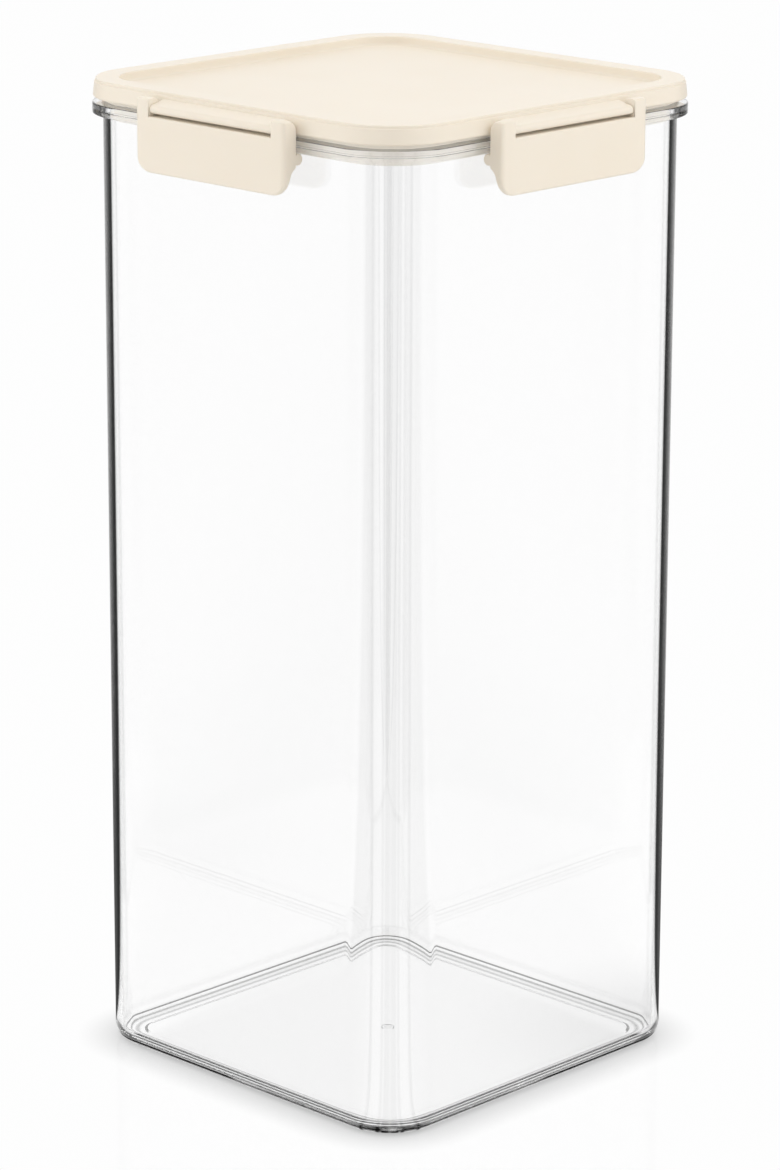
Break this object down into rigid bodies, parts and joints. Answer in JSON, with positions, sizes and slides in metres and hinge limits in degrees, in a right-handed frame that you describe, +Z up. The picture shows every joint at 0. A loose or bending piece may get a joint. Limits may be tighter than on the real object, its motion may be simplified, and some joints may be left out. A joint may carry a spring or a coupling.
{
  "type": "cereal container",
  "caption": "Tall clear square cereal container with a recessed cream lid held by flip latches over the rim flange.",
  "frame": {"origin": "middle of the base, on the surface that the container stands on", "axes": "+Z up along the body; -Y towards the front latch, +X towards the right latch"},
  "size_m": [0.1358, 0.1358, 0.2769],
  "materials": {
    "clear_plastic": "polished, clear injection-moulded copolyester",
    "cream_plastic": "satin injection-moulded polypropylene",
    "silicone": "matt translucent moulded silicone"
  },
  "bodies": {
    "container": {"container_body": "clear_plastic"},
    "lid": {"lid": "cream_plastic", "lid_gasket": "silicone"},
    "front_latch": {"latch_front": "cream_plastic"},
    "right_latch": {"latch_right": "cream_plastic"},
    "back_latch": {"latch_back": "cream_plastic"},
    "left_latch": {"latch_left": "cream_plastic"}
  },
  "joints": [
    {"name": "lid_lift", "type": "slide", "parent": "container", "child": "lid", "axis": [0, 0, 1], "range_m": [0, 0.08]},
    {"name": "front_latch_hinge", "type": "hinge", "parent": "lid", "child": "front_latch", "pos_m": [0, -0.0663, 0.273], "axis": [-1, 0, 0], "range_deg": [0, 120]},
    {"name": "right_latch_hinge", "type": "hinge", "parent": "lid", "child": "right_latch", "pos_m": [0.0663, 0, 0.273], "axis": [0, -1, 0], "range_deg": [0, 120]},
    {"name": "back_latch_hinge", "type": "hinge", "parent": "lid", "child": "back_latch", "pos_m": [0, 0.0663, 0.273], "axis": [1, 0, 0], "range_deg": [0, 120]},
    {"name": "left_latch_hinge", "type": "hinge", "parent": "lid", "child": "left_latch", "pos_m": [-0.0663, 0, 0.273], "axis": [0, 1, 0], "range_deg": [0, 120]}
  ]
}
